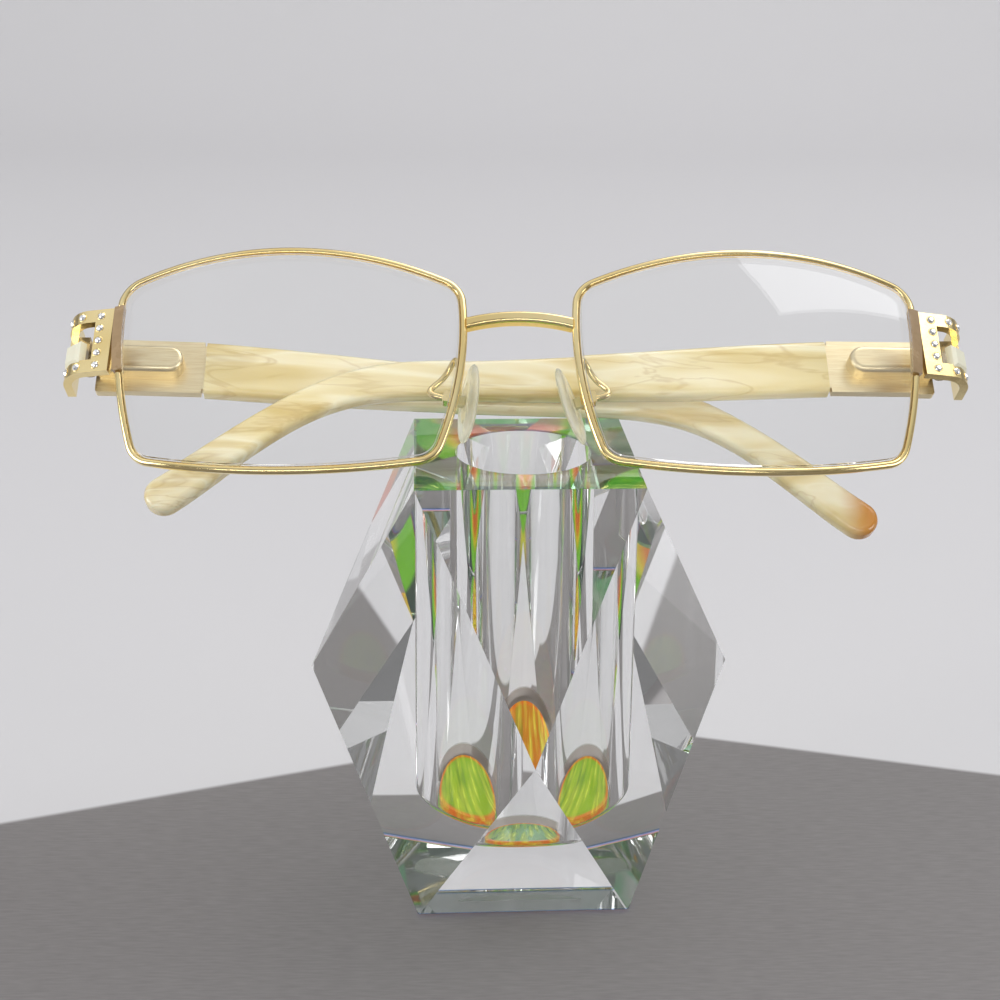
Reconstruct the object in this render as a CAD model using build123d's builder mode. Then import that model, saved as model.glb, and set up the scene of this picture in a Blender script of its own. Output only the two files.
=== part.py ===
"""Faceted crystal display stand carrying a pair of folded metal eyeglasses.

The crystal stands on z = 0 with its centre on the Z axis.  The eyeglasses are drawn in their own
wearing frame (x to the side, y back along an open temple, z up along the hinge pins, origin midway
between the lower rims) and one placement sets them on the crystal, leaning back.  Millimetres.
"""

import os
from math import cos, pi, radians, sin

from build123d import *

# ---- crystal stand ------------------------------------------------------------------------------
PRISM_SIDE = 50.0                    # square stock standing on edge to the viewer
CRYSTAL_HEIGHT = 76.0
HALF_DIAGONAL = PRISM_SIDE / 2**0.5
STAND_TURN = 2.0                     # degrees about Z against the eyeglasses
BORE_RADIUS = 11.0
BORE_DEPTH = 60.0
BORE_CORNER = 1.2                    # rounding between bore wall and floor
EDGE_EASE = 0.35                     # ground edge around the base and the top
DISC_RADIUS = BORE_RADIUS - BORE_CORNER
DISC_THICKNESS = 1.2

# ---- posture of the eyeglasses on the crystal -----------------------------------------------------
LEAN = 48.0                          # open temples point this far below the horizontal
REST_POINT = (-0.7, -10.6, 78.3)     # wearing-frame origin on the stand
PANTOSCOPIC = 8.0                    # the lens plane leans in at the bottom by this much
WRAP = 5.0                           # each rim turns back by this much

# ---- rims and lenses ------------------------------------------------------------------------------
NASAL_HALF_GAP = 8.8                 # from the middle to the outside of a rim
RIM_WIDTH = 1.35
RIM_DEPTH = 2.0
BASE_RADIUS = 88.0                   # front curve of rim and lens
CROWN = 3.9                          # bulge of the curve ahead of the rim plane
LENS_CENTRE = (28.5, 17.0)
LENS_THICKNESS = 1.8
GROOVE_DEPTH = 0.5
GROOVE_WIDTH = 0.8
FIT = 0.02
TOP_NASAL = (0.3, 30.5)
TOP_MIDDLE = (28.5, 36.8)
TOP_TEMPORAL = (57.0, 32.6)
SIDE_TEMPORAL = (56.1, 15.0)
BOTTOM_TEMPORAL = (52.8, 1.1)
BOTTOM_MIDDLE = (28.2, -2.4)
BOTTOM_NASAL = (4.3, 0.0)
SIDE_NASAL = (0.3, 14.0)
CORNER_ROUND = 5.0

# ---- bridge ---------------------------------------------------------------------------------------
BRIDGE_END_V = 23.3
BRIDGE_RISE = 1.3
BRIDGE_HEIGHT = 2.5
BRIDGE_DEPTH = 1.9

# ---- temporal ends --------------------------------------------------------------------------------
BLOCK_BOTTOM_V = 16.8
BLOCK_TOP_V = 28.6
BLOCK_PROUD = 0.35                   # enamelled block stands out of the rim to the front and side
HINGE_X = 71.5
HINGE_Y = 10.8
HINGE_Z = 24.6
END_BOTTOM = 17.6
END_TOP = 29.6
END_WALL = 1.4
WALL_BEND = 4.0
KNUCKLE_RADIUS = 1.25
KNUCKLE_PITCH = 1.64
KNUCKLE_GAP = 0.05
SCREW_RADIUS = 0.45
SCREW_PLAY = 0.05
SCREW_HEAD_RADIUS = 0.95
SCREW_HEAD_HEIGHT = 0.5
STONE_RADIUS = 0.66
STONE_PITCH = 2.35
STONE_PROUD = 0.35
STONE_SEAT = 0.45                    # let into the metal
STONE_TAPER = 38
BAR_WIDTH = 3.4                      # rectangular stone in the window of the endpiece
BAR_HEIGHT = 4.0
BAR_PROUD = 0.3
BAR_SEAT = 0.3                       # let into the strip under it
BAR_CUT = 0.5

# ---- temples --------------------------------------------------------------------------------------
PLATE_OFFSET = 1.5                   # hinge pin to the inner face of the plate
PLATE_THICKNESS = 1.4
PLATE_START = 0.95
PLATE_LENGTH = 19.2
PLATE_HEIGHT = 10.0
HOUSING_START = 1.6
HOUSING_LENGTH = 14.2
HOUSING_HEIGHT = 2 * 1.5 * KNUCKLE_PITCH
ARM_THICKNESS = 3.4
ARM_PROUD = 0.9                      # arm stands inward of the plate's inner face
ARM_EDGE = 1.1
TENON_LENGTH = 4.5
TENON_HEIGHT = 5.5
TENON_THICKNESS = 0.8
TENON_DEPTH = 0.3                    # below the plate's inner face
NOTCH = (1.0, 0.8)                   # small step at each corner of the plate
TONGUE_WIDTH = 1.6
TONGUE_REACH = 6.0                   # into the housing
HOUSING_EDGE = 0.9
SCREW_SLOT = 0.25
INNER_REST_TURN = -1.2               # right temple, folded first, beyond square
OUTER_REST_TURN = 2.4                # left temple, folded over the right one

# ---- nose pads ------------------------------------------------------------------------------------
PAD_PIVOT = (10.6, 12.0, 5.2)        # x, height in the lens plane, distance behind it
PAD_LENGTH = 14.0
PAD_WIDTH = 7.0
PAD_THICKNESS = 1.9
PAD_STANDOFF = 1.7
PAD_LEAN = 11.5                      # long axis against the vertical
PAD_SPLAY = 22.0                     # face turned towards the rear
PAD_ROCK = 5.0                       # both pads have tipped the same way
PIVOT_RADIUS = 0.4
PIVOT_PLAY = 0.04
LUG_THICKNESS = 1.2
LUG_RADIUS = 0.8
BOX_THICKNESS = 2.2
BOX_LENGTH = 2.6
PAD_ARM = ((9.6, 15.5, -1.4), (10.3, 18.4, -4.2), (12.9, 15.6, -6.2))
PAD_ARM_RADIUS = 0.5

os.makedirs("parts", exist_ok=True)

tilt = radians(PANTOSCOPIC)
turn = radians(WRAP)
front_plane = Plane((0, 0, 0), x_dir=(1, 0, 0), z_dir=(0, -cos(tilt), -sin(tilt)))
lens_up = front_plane.y_dir
rim_x = Vector(cos(turn), sin(turn) * cos(tilt), sin(turn) * sin(tilt))
rim_plane = Plane((NASAL_HALF_GAP, 0, 0), x_dir=rim_x, z_dir=rim_x.cross(lens_up))
curve_centre = rim_plane.from_local_coords((*LENS_CENTRE, CROWN - BASE_RADIUS))
on_stand = Location(REST_POINT, (-LEAN, 0, 0))


def keep(piece, label, placement=on_stand):
    """Name a finished piece, set it in the assembly and write it."""
    piece.part.label = label
    piece.part.locate(placement)
    export_step(piece.part, f"parts/{label}.step")


def turned(pin, angle, axis=Vector(0, 0, 1)):
    """Rotation by an angle about an axis through a pin."""
    hub = Plane(pin, z_dir=axis).location
    return hub * Location((0, 0, 0), (0, 0, angle)) * hub.inverse()


def other_side(piece):
    """The same piece for the left side."""
    with BuildPart() as mirrored:
        mirror(piece.part, about=Plane.YZ)
    return mirrored


def lens_outline(inset):
    """Rim outline, moved inwards by inset, as a face on the rim plane."""
    with BuildSketch(rim_plane) as outline:
        with BuildLine():
            ThreePointArc(TOP_NASAL, TOP_MIDDLE, TOP_TEMPORAL)
            ThreePointArc(TOP_TEMPORAL, SIDE_TEMPORAL, BOTTOM_TEMPORAL)
            ThreePointArc(BOTTOM_TEMPORAL, BOTTOM_MIDDLE, BOTTOM_NASAL)
            ThreePointArc(BOTTOM_NASAL, SIDE_NASAL, TOP_NASAL)
        make_face()
        if inset:
            offset(amount=-inset, kind=Kind.INTERSECTION, mode=Mode.REPLACE)
        fillet(outline.vertices(), CORNER_ROUND - inset)
    return outline.sketch


def curved_slab(outer_inset, inner_inset, thickness):
    """Ring (or disc, when inner_inset is None) of the rim outline, following the lens curve."""
    with BuildPart() as slab:
        extrude(lens_outline(outer_inset), amount=12, both=True)
        if inner_inset is not None:
            extrude(lens_outline(inner_inset), amount=12, both=True, mode=Mode.SUBTRACT)
        with Locations(curve_centre):
            Sphere(BASE_RADIUS + thickness / 2, mode=Mode.INTERSECT)
            Sphere(BASE_RADIUS - thickness / 2, mode=Mode.SUBTRACT)
    return slab.part


# ==== crystal stand ================================================================================
stand_turn = Location((0, 0, 0), (0, 0, STAND_TURN))

with BuildPart() as crystal_block:
    with BuildSketch():
        Rectangle(PRISM_SIDE, PRISM_SIDE, rotation=45)
    extrude(amount=CRYSTAL_HEIGHT)
    for quarter in range(4):
        azimuth = quarter * pi / 2
        vertex = (HALF_DIAGONAL * cos(azimuth), HALF_DIAGONAL * sin(azimuth), CRYSTAL_HEIGHT / 2)
        for up in (1, -1):
            normal = (
                CRYSTAL_HEIGHT * cos(azimuth),
                CRYSTAL_HEIGHT * sin(azimuth),
                up * HALF_DIAGONAL,
            )
            split(bisect_by=Plane(vertex, z_dir=normal), keep=Keep.BOTTOM)
    base_edges = crystal_block.faces().sort_by(Axis.Z)[0].edges()
    chamfer(base_edges, EDGE_EASE)
    with BuildSketch(Plane.XZ):
        with Locations((0, CRYSTAL_HEIGHT)):
            Rectangle(BORE_RADIUS, BORE_DEPTH, align=(Align.MIN, Align.MAX))
        floor_corner = vertices().group_by(Axis.Y)[0].sort_by(Axis.X)[-1]
        fillet(floor_corner, BORE_CORNER)
    revolve(axis=Axis.Z, mode=Mode.SUBTRACT)

with BuildPart() as colour_disc:
    with BuildSketch(Plane.XY.offset(CRYSTAL_HEIGHT - BORE_DEPTH)):
        Circle(DISC_RADIUS)
    extrude(amount=DISC_THICKNESS)

# ==== rims, closing blocks and lenses ==============================================================
with BuildPart() as block_zone:
    with BuildSketch(rim_plane):
        with Locations((TOP_TEMPORAL[0], (BLOCK_BOTTOM_V + BLOCK_TOP_V) / 2)):
            Rectangle(8.0, BLOCK_TOP_V - BLOCK_BOTTOM_V)
    extrude(amount=12, both=True)

groove = curved_slab(RIM_WIDTH - GROOVE_DEPTH - FIT, RIM_WIDTH, GROOVE_WIDTH + 2 * FIT)

with BuildPart() as rim:
    add(curved_slab(0, RIM_WIDTH, RIM_DEPTH))
    add(groove, mode=Mode.SUBTRACT)
    add(block_zone.part, mode=Mode.SUBTRACT)

with BuildPart() as closing_block:
    add(curved_slab(-BLOCK_PROUD, RIM_WIDTH, RIM_DEPTH + 2 * BLOCK_PROUD))
    add(groove, mode=Mode.SUBTRACT)
    add(block_zone.part, mode=Mode.INTERSECT)

with BuildPart() as lens:
    add(curved_slab(RIM_WIDTH + FIT, None, LENS_THICKNESS))
    add(curved_slab(RIM_WIDTH - GROOVE_DEPTH, None, GROOVE_WIDTH))

# ==== bridge =======================================================================================
bridge_sag = CROWN - (LENS_CENTRE[0] ** 2 + (BRIDGE_END_V - LENS_CENTRE[1]) ** 2) / (2 * BASE_RADIUS)
bridge_reach = NASAL_HALF_GAP + 0.25
rim_filled = curved_slab(0, None, 3 * RIM_DEPTH)

with BuildPart() as bridge:
    with BuildLine(front_plane.offset(bridge_sag)) as bridge_path:
        ThreePointArc(
            (-bridge_reach, BRIDGE_END_V),
            (0, BRIDGE_END_V + BRIDGE_RISE),
            (bridge_reach, BRIDGE_END_V),
        )
    with BuildSketch(bridge_path.line ^ 0):
        RectangleRounded(BRIDGE_HEIGHT, BRIDGE_DEPTH, 0.6, rotation=90)
    sweep()
    for sides in (rim_filled, mirror(rim_filled, about=Plane.YZ, mode=Mode.PRIVATE)):
        add(sides, mode=Mode.SUBTRACT)

# ==== endpieces ====================================================================================
wall_x = HINGE_X + PLATE_OFFSET + PLATE_THICKNESS - END_WALL / 2
end_front = (NASAL_HALF_GAP + 57.4, 3.2)
end_back = (wall_x, HINGE_Y)
wall_path = (end_front, (wall_x, 4.6), end_back)
window_start = end_front[0] + 3.1
window_bottom = END_BOTTOM + 2.4
window_top = END_TOP - 2.4
leaf_inner_x = HINGE_X - 0.5
leaf_back_y = HINGE_Y - KNUCKLE_RADIUS - 0.25


def wrapped_wall(low, high, thickness):
    """Wall that runs from the closing block round to the hinge, between two heights."""
    with BuildPart() as wall:
        with BuildSketch(Plane.XY.offset(low)):
            with BuildLine():
                FilletPolyline(*wall_path, radius=WALL_BEND)
            trace(line_width=thickness)
        extrude(amount=high - low)
    return wall.part


with BuildPart() as endpiece:
    add(wrapped_wall(END_BOTTOM, END_TOP, END_WALL))
    with BuildSketch(Plane.XZ):
        with Locations((window_start, (window_bottom + window_top) / 2)):
            Rectangle(20, window_top - window_bottom, align=(Align.MIN, Align.CENTER))
    extrude(amount=20, both=True, mode=Mode.SUBTRACT)
    with BuildSketch(Plane.XY.offset(END_BOTTOM)):
        with Locations(end_back):
            Rectangle(END_WALL, 2.6, align=(Align.CENTER, Align.MAX))
    extrude(amount=END_TOP - END_BOTTOM)
    add(closing_block.part, mode=Mode.SUBTRACT)
    add(rim.part, mode=Mode.SUBTRACT)


def wall_spot(along, height):
    """Plane on the outer face of the wrapped wall, for a stone."""
    with BuildLine(mode=Mode.PRIVATE) as bend:
        FilletPolyline(*wall_path, radius=WALL_BEND)
    spot = bend.wire() @ along
    way = bend.wire() % along
    outward = Vector(way.Y, -way.X, 0)
    return Plane(Vector(spot.X, spot.Y, height) + outward * END_WALL / 2, z_dir=outward)


middle_height = (END_BOTTOM + END_TOP) / 2
stone_spots = [wall_spot(0.17, middle_height + step * STONE_PITCH) for step in range(-2, 3)]
for along in (0.42, 0.6):
    stone_spots.append(wall_spot(along, END_TOP - 1.2))
    stone_spots.append(wall_spot(along, END_BOTTOM + 1.2))

with BuildPart() as stones:
    for spot in stone_spots:
        with BuildSketch(spot.offset(-STONE_SEAT)):
            Circle(STONE_RADIUS)
        extrude(amount=STONE_SEAT)
        with BuildSketch(spot):
            Circle(STONE_RADIUS)
        extrude(amount=STONE_PROUD, taper=STONE_TAPER)

with endpiece:
    add(stones.part, mode=Mode.SUBTRACT)

with BuildPart() as baguette:
    bar_plane = wall_spot(0.5, window_bottom + BAR_HEIGHT / 2 - BAR_SEAT)
    with BuildSketch(bar_plane.offset(-END_WALL)):
        Rectangle(BAR_WIDTH, BAR_HEIGHT)
    extrude(amount=END_WALL + BAR_PROUD)
    bar_face = baguette.faces().sort_by(Axis(bar_plane.origin, bar_plane.z_dir))[-1]
    chamfer(bar_face.edges(), BAR_CUT)
    add(endpiece.part, mode=Mode.SUBTRACT)

# ==== hinges =======================================================================================
barrel_half = 1.5 * KNUCKLE_PITCH
tongue_half = KNUCKLE_PITCH / 2 - KNUCKLE_GAP

with BuildPart() as hinge_leaf:
    with BuildSketch(Plane.XY.offset(HINGE_Z - barrel_half)):
        with Locations((leaf_inner_x, leaf_back_y)):
            Rectangle(wall_x - END_WALL / 2 - leaf_inner_x, 1.9, align=(Align.MIN, Align.MAX))
        with Locations((HINGE_X, HINGE_Y)):
            Circle(KNUCKLE_RADIUS)
            Rectangle(2 * KNUCKLE_RADIUS, HINGE_Y - leaf_back_y, align=(Align.CENTER, Align.MAX))
    extrude(amount=2 * barrel_half)
    with BuildSketch(Plane.XY.offset(HINGE_Z - KNUCKLE_PITCH / 2)):
        with Locations((HINGE_X, HINGE_Y)):
            Rectangle(4, HINGE_Y - leaf_back_y + 1.6, align=(Align.CENTER, Align.CENTER))
    extrude(amount=KNUCKLE_PITCH, mode=Mode.SUBTRACT)
    with Locations((HINGE_X, HINGE_Y, HINGE_Z)):
        Cylinder(SCREW_RADIUS, 3 * KNUCKLE_PITCH, mode=Mode.SUBTRACT)
    add(endpiece.part, mode=Mode.SUBTRACT)

with BuildPart() as hinge_screw:
    with Locations((HINGE_X, HINGE_Y, HINGE_Z)):
        Cylinder(SCREW_RADIUS, 2 * barrel_half)
    with Locations((HINGE_X, HINGE_Y, HINGE_Z + barrel_half)):
        on_top = (Align.CENTER, Align.CENTER, Align.MIN)
        Cylinder(SCREW_HEAD_RADIUS, SCREW_HEAD_HEIGHT, align=on_top)
    head_top = hinge_screw.faces().sort_by(Axis.Z)[-1]
    fillet(head_top.edges(), 0.2)
    with Locations((HINGE_X, HINGE_Y, HINGE_Z + barrel_half + SCREW_HEAD_HEIGHT)):
        Box(3 * SCREW_HEAD_RADIUS, SCREW_SLOT, SCREW_HEAD_HEIGHT, mode=Mode.SUBTRACT)

# ==== temples ======================================================================================
# Drawn on the right side pointing straight back from the hinge pin, then turned in about the pin.
inner_face_x = HINGE_X + PLATE_OFFSET
side_plane = Plane((inner_face_x, HINGE_Y, HINGE_Z), x_dir=(0, 1, 0), z_dir=(1, 0, 0))
arm_plane = side_plane.offset(-ARM_PROUD)

with BuildPart() as temple_plate:
    with BuildSketch(side_plane):
        with Locations(((PLATE_START + PLATE_LENGTH) / 2, 0)):
            RectangleRounded(PLATE_LENGTH - PLATE_START, PLATE_HEIGHT, 0.5)
    extrude(amount=PLATE_THICKNESS)
    with BuildSketch(side_plane.offset(TENON_DEPTH)):
        with Locations((PLATE_LENGTH, 0)):
            Rectangle(2 * TENON_LENGTH, TENON_HEIGHT)
    extrude(amount=TENON_THICKNESS)
    with BuildSketch(side_plane):
        with GridLocations(2 * PLATE_LENGTH, PLATE_HEIGHT - NOTCH[1], 2, 2):
            Rectangle(*NOTCH)
    extrude(amount=PLATE_THICKNESS, mode=Mode.SUBTRACT)

housing_straight = HOUSING_LENGTH - HOUSING_HEIGHT / 2
housing_mouth = (HINGE_X, HINGE_Y + HOUSING_START, HINGE_Z)

with BuildPart() as spring_housing:
    with BuildSketch(side_plane):
        with Locations((HOUSING_START, 0)):
            Rectangle(housing_straight, HOUSING_HEIGHT, align=(Align.MIN, Align.CENTER))
        with Locations((HOUSING_START + housing_straight, 0)):
            Circle(HOUSING_HEIGHT / 2)
    extrude(amount=-2 * PLATE_OFFSET)
    fillet(spring_housing.faces().sort_by(Axis.X)[0].edges(), HOUSING_EDGE)
    with BuildSketch(Plane(housing_mouth, x_dir=(1, 0, 0), z_dir=(0, 1, 0))):
        Rectangle(TONGUE_WIDTH, 2 * tongue_half)
    extrude(amount=TONGUE_REACH, mode=Mode.SUBTRACT)

with BuildPart() as hinge_tongue:
    with BuildSketch(Plane.XY.offset(HINGE_Z - tongue_half)):
        with Locations((HINGE_X, HINGE_Y)):
            Circle(KNUCKLE_RADIUS)
            Rectangle(TONGUE_WIDTH, HOUSING_START + TONGUE_REACH, align=(Align.CENTER, Align.MIN))
            Circle(SCREW_RADIUS + SCREW_PLAY, mode=Mode.SUBTRACT)
    extrude(amount=2 * tongue_half)

with BuildPart() as temple_arm:
    with BuildSketch(arm_plane):
        with BuildLine():
            top = Spline(
                (PLATE_LENGTH, 4.8),
                (49.0, 2.4),
                (82.0, 0.0),
                (94.0, -1.0),
                (104.0, -4.4),
                (130.0, -23.2),
                tangents=((1, -0.05), (0.8, -0.6)),
            )
            bottom = Spline(
                (PLATE_LENGTH, -5.1),
                (41.0, -6.2),
                (79.0, -6.8),
                (93.0, -7.4),
                (101.5, -9.4),
                (126.3, -28.2),
                tangents=((1, -0.05), (0.8, -0.6)),
            )
            ThreePointArc(top @ 1, (130.6, -27.7), bottom @ 1)
            Line(top @ 0, bottom @ 0)
        make_face()
    extrude(amount=ARM_THICKNESS)
    broad = temple_arm.faces().filter_by(Axis.X)
    fillet(broad.edges().filter_by(GeomType.LINE, reverse=True), ARM_EDGE)
    add(temple_plate.part, mode=Mode.SUBTRACT)

# ==== nose pads ====================================================================================
pad_pivot = front_plane.from_local_coords((PAD_PIVOT[0], PAD_PIVOT[1], -PAD_PIVOT[2]))
lean = radians(PAD_LEAN)
pad_down = Vector(1, 0, 0) * sin(lean) - lens_up * cos(lean)
pad_frame = Plane(pad_pivot, x_dir=pad_down.cross(front_plane.z_dir), z_dir=front_plane.z_dir)
splay = radians(PAD_SPLAY)
pad_face = pad_frame.x_dir * cos(splay) - pad_frame.z_dir * sin(splay)
pad_back = pad_frame.from_local_coords((PAD_STANDOFF, 0, 0))

with BuildPart() as nose_pad:
    with BuildSketch(Plane(pad_back, x_dir=pad_down, z_dir=pad_face)):
        Ellipse(PAD_LENGTH / 2, PAD_WIDTH / 2)
    extrude(amount=PAD_THICKNESS)
    fillet(nose_pad.edges().filter_by(GeomType.ELLIPSE), 0.7)
    with BuildSketch(pad_frame.offset(-LUG_THICKNESS / 2)):
        Circle(LUG_RADIUS)
        Rectangle(PAD_STANDOFF + 0.5, 2 * LUG_RADIUS, align=(Align.MIN, Align.CENTER))
        Circle(PIVOT_RADIUS + PIVOT_PLAY, mode=Mode.SUBTRACT)
    extrude(amount=LUG_THICKNESS)

with BuildPart() as pad_box:
    with BuildSketch(pad_frame.offset(-BOX_THICKNESS / 2)):
        with Locations((LUG_RADIUS, 0)):
            Rectangle(BOX_LENGTH, 2 * LUG_RADIUS + 0.2, align=(Align.MAX, Align.CENTER))
    extrude(amount=BOX_THICKNESS)
    fillet(pad_box.edges().filter_by(Axis(pad_frame.origin, pad_frame.z_dir)), 0.3)
    with BuildSketch(pad_frame.offset(-LUG_THICKNESS / 2 - PIVOT_PLAY)):
        with Locations((-LUG_RADIUS - 0.15, 0)):
            Rectangle(3, 3, align=(Align.MIN, Align.CENTER))
    extrude(amount=LUG_THICKNESS + 2 * PIVOT_PLAY, mode=Mode.SUBTRACT)
    with BuildSketch(pad_frame.offset(-BOX_THICKNESS / 2)):
        Circle(PIVOT_RADIUS)
    extrude(amount=BOX_THICKNESS, mode=Mode.SUBTRACT)

with BuildPart() as pad_pin:
    with BuildSketch(pad_frame.offset(-BOX_THICKNESS / 2)):
        Circle(PIVOT_RADIUS)
    extrude(amount=BOX_THICKNESS)
    with BuildSketch(pad_frame.offset(BOX_THICKNESS / 2)):
        Circle(PIVOT_RADIUS + 0.2)
    extrude(amount=0.25)

arm_end = pad_frame.from_local_coords((LUG_RADIUS - BOX_LENGTH + 0.2, 0, 0))
arm_points = [front_plane.from_local_coords(spot) for spot in PAD_ARM]
with BuildPart() as pad_arm:
    with BuildLine() as arm_path:
        Spline(*arm_points, arm_end, tangents=(-front_plane.z_dir, pad_frame.x_dir))
    with BuildSketch(arm_path.line ^ 0):
        Circle(PAD_ARM_RADIUS)
    sweep()
    add(rim.part, mode=Mode.SUBTRACT)
    add(pad_box.part, mode=Mode.SUBTRACT)

# ==== assembly =====================================================================================
keep(crystal_block, "crystal_block", stand_turn)
keep(colour_disc, "colour_disc", stand_turn)
keep(bridge, "bridge")

front_pairs = {
    "rim": rim,
    "closing_block": closing_block,
    "lens": lens,
    "endpiece": endpiece,
    "stones": stones,
    "baguette": baguette,
    "hinge_leaf": hinge_leaf,
    "hinge_screw": hinge_screw,
    "pad_arm": pad_arm,
    "pad_box": pad_box,
    "pad_pin": pad_pin,
}
for label, piece in front_pairs.items():
    left_piece = other_side(piece)
    keep(piece, f"{label}_right")
    keep(left_piece, f"{label}_left")

temple_pairs = {
    "temple_plate": temple_plate,
    "spring_housing": spring_housing,
    "hinge_tongue": hinge_tongue,
    "temple_arm": temple_arm,
}
for label, piece in temple_pairs.items():
    left_piece = other_side(piece)
    keep(piece, f"{label}_right", on_stand * turned((HINGE_X, HINGE_Y, 0), 90 - INNER_REST_TURN))
    keep(left_piece, f"{label}_left", on_stand * turned((-HINGE_X, HINGE_Y, 0), OUTER_REST_TURN - 90))

left_pad = other_side(nose_pad)
left_pivot = Vector(-pad_pivot.X, pad_pivot.Y, pad_pivot.Z)
keep(nose_pad, "nose_pad_right", on_stand * turned(pad_pivot, PAD_ROCK, front_plane.z_dir))
keep(left_pad, "nose_pad_left", on_stand * turned(left_pivot, PAD_ROCK, front_plane.z_dir))
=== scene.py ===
import math

import bmesh
import bpy
from mathutils import Matrix, Vector


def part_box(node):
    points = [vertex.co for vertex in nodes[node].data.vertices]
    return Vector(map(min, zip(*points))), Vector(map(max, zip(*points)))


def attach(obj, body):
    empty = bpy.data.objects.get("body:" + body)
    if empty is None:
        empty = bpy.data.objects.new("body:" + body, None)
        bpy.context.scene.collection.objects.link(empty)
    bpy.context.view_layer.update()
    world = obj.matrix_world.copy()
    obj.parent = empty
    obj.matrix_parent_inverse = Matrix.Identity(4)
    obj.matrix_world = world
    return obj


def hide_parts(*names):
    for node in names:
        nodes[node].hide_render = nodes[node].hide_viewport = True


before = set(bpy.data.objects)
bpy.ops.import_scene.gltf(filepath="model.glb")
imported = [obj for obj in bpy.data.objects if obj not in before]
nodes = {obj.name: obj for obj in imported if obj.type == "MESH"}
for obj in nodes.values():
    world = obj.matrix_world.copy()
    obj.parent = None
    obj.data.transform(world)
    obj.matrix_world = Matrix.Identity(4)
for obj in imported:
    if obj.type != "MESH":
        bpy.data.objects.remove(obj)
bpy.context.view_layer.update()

MM = 0.001
SIDES = ("right", "left")
SIGNS = dict(zip(SIDES, (1, -1)))

# The block, as in the CAD, in metres: bore on the z axis, base on z = 0.
BLOCK_HEIGHT = 76 * MM
BORE_RADIUS = 11 * MM
BORE_FOOT = 16 * MM


# ---- node helpers ---------------------------------------------------------------------------------
class Tree:
    """A material's node tree with short calls for the nodes used here."""

    def __init__(self, name):
        self.mat = bpy.data.materials.new(name)
        self.mat.use_nodes = True
        self.nt = self.mat.node_tree
        self.nt.nodes.clear()
        self.out = self.nt.nodes.new("ShaderNodeOutputMaterial")
        self.bsdf = self.nt.nodes.new("ShaderNodeBsdfPrincipled")
        self.link(self.bsdf.outputs[0], self.out.inputs["Surface"])

    def link(self, a, b):
        self.nt.links.new(a, b)

    def node(self, kind, **values):
        n = self.nt.nodes.new("ShaderNode" + kind)
        for key, value in values.items():
            setattr(n, key, value)
        return n

    def feed(self, socket, value):
        if isinstance(value, bpy.types.NodeSocket):
            self.link(value, socket)
        else:
            socket.default_value = value

    def set(self, **values):
        for key, value in values.items():
            self.feed(self.bsdf.inputs[key.replace("_", " ")], value)

    def coords(self, scale=(1, 1, 1), rotation=(0, 0, 0)):
        """Object coordinates in the row frame, turned and scaled."""
        place = self.node("TexCoord")
        m = self.node("Mapping")
        m.inputs["Rotation"].default_value = rotation
        m.inputs["Scale"].default_value = scale
        self.link(place.outputs["Object"], m.inputs["Vector"])
        return m.outputs[0]

    def noise(self, vector, scale, detail=3.0, roughness=0.5, distortion=0.0):
        n = self.node("TexNoise")
        self.feed(n.inputs["Vector"], vector)
        n.inputs["Scale"].default_value = scale
        n.inputs["Detail"].default_value = detail
        n.inputs["Roughness"].default_value = roughness
        n.inputs["Distortion"].default_value = distortion
        return n.outputs["Fac"]

    def ramp(self, fac, stops):
        r = self.node("ValToRGB")
        bar = r.color_ramp
        while len(bar.elements) < len(stops):
            bar.elements.new(0.5)
        for element, (position, colour) in zip(bar.elements, stops):
            element.position = position
            element.color = (*colour, 1) if len(colour) == 3 else colour
        self.feed(r.inputs[0], fac)
        return r.outputs[0]

    def span(self, value, low, high, to_low, to_high, smooth=False):
        m = self.node("MapRange")
        m.interpolation_type = "SMOOTHSTEP" if smooth else "LINEAR"
        self.feed(m.inputs["Value"], value)
        m.inputs["From Min"].default_value = low
        m.inputs["From Max"].default_value = high
        m.inputs["To Min"].default_value = to_low
        m.inputs["To Max"].default_value = to_high
        return m.outputs[0]

    def mix(self, fac, a, b, blend="MIX"):
        m = self.node("Mix", data_type="RGBA", blend_type=blend)
        self.feed(m.inputs[0], fac)
        self.feed(m.inputs[6], a)
        self.feed(m.inputs[7], b)
        return m.outputs[2]

    def times(self, *factors):
        product = factors[0]
        for factor in factors[1:]:
            product = self.math("MULTIPLY", product, factor)
        return product

    def shade(self, fac, a, b):
        """Shader a blended towards shader b."""
        m = self.node("MixShader")
        self.feed(m.inputs[0], fac)
        self.link(a, m.inputs[1])
        self.link(b, m.inputs[2])
        return m.outputs[0]

    def math(self, operation, a, b=0.0):
        m = self.node("Math", operation=operation)
        self.feed(m.inputs[0], a)
        self.feed(m.inputs[1], b)
        return m.outputs[0]

    def part(self, vector, axis):
        s = self.node("SeparateXYZ")
        self.link(vector, s.inputs[0])
        return s.outputs[axis]

    def bump(self, height, strength, distance):
        b = self.node("Bump")
        b.inputs["Strength"].default_value = strength
        b.inputs["Distance"].default_value = distance
        self.link(height, b.inputs["Height"])
        self.link(b.outputs[0], self.bsdf.inputs["Normal"])

    def lamps_pass(self, tint=(1, 1, 1, 1)):
        """Rays from lamps go straight through, so that what is behind the glass is lit."""
        path = self.node("LightPath")
        clear = self.node("BsdfTransparent")
        clear.inputs[0].default_value = tint
        lit = self.shade(path.outputs["Is Shadow Ray"], self.bsdf.outputs[0], clear.outputs[0])
        self.link(lit, self.out.inputs["Surface"])


def rgb(red, green, blue):
    """Linear colour of an sRGB one from 0 to 255."""
    def line(v):
        v /= 255
        return v / 12.92 if v <= 0.04045 else ((v + 0.055) / 1.055) ** 2.4
    return (line(red), line(green), line(blue))


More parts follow.
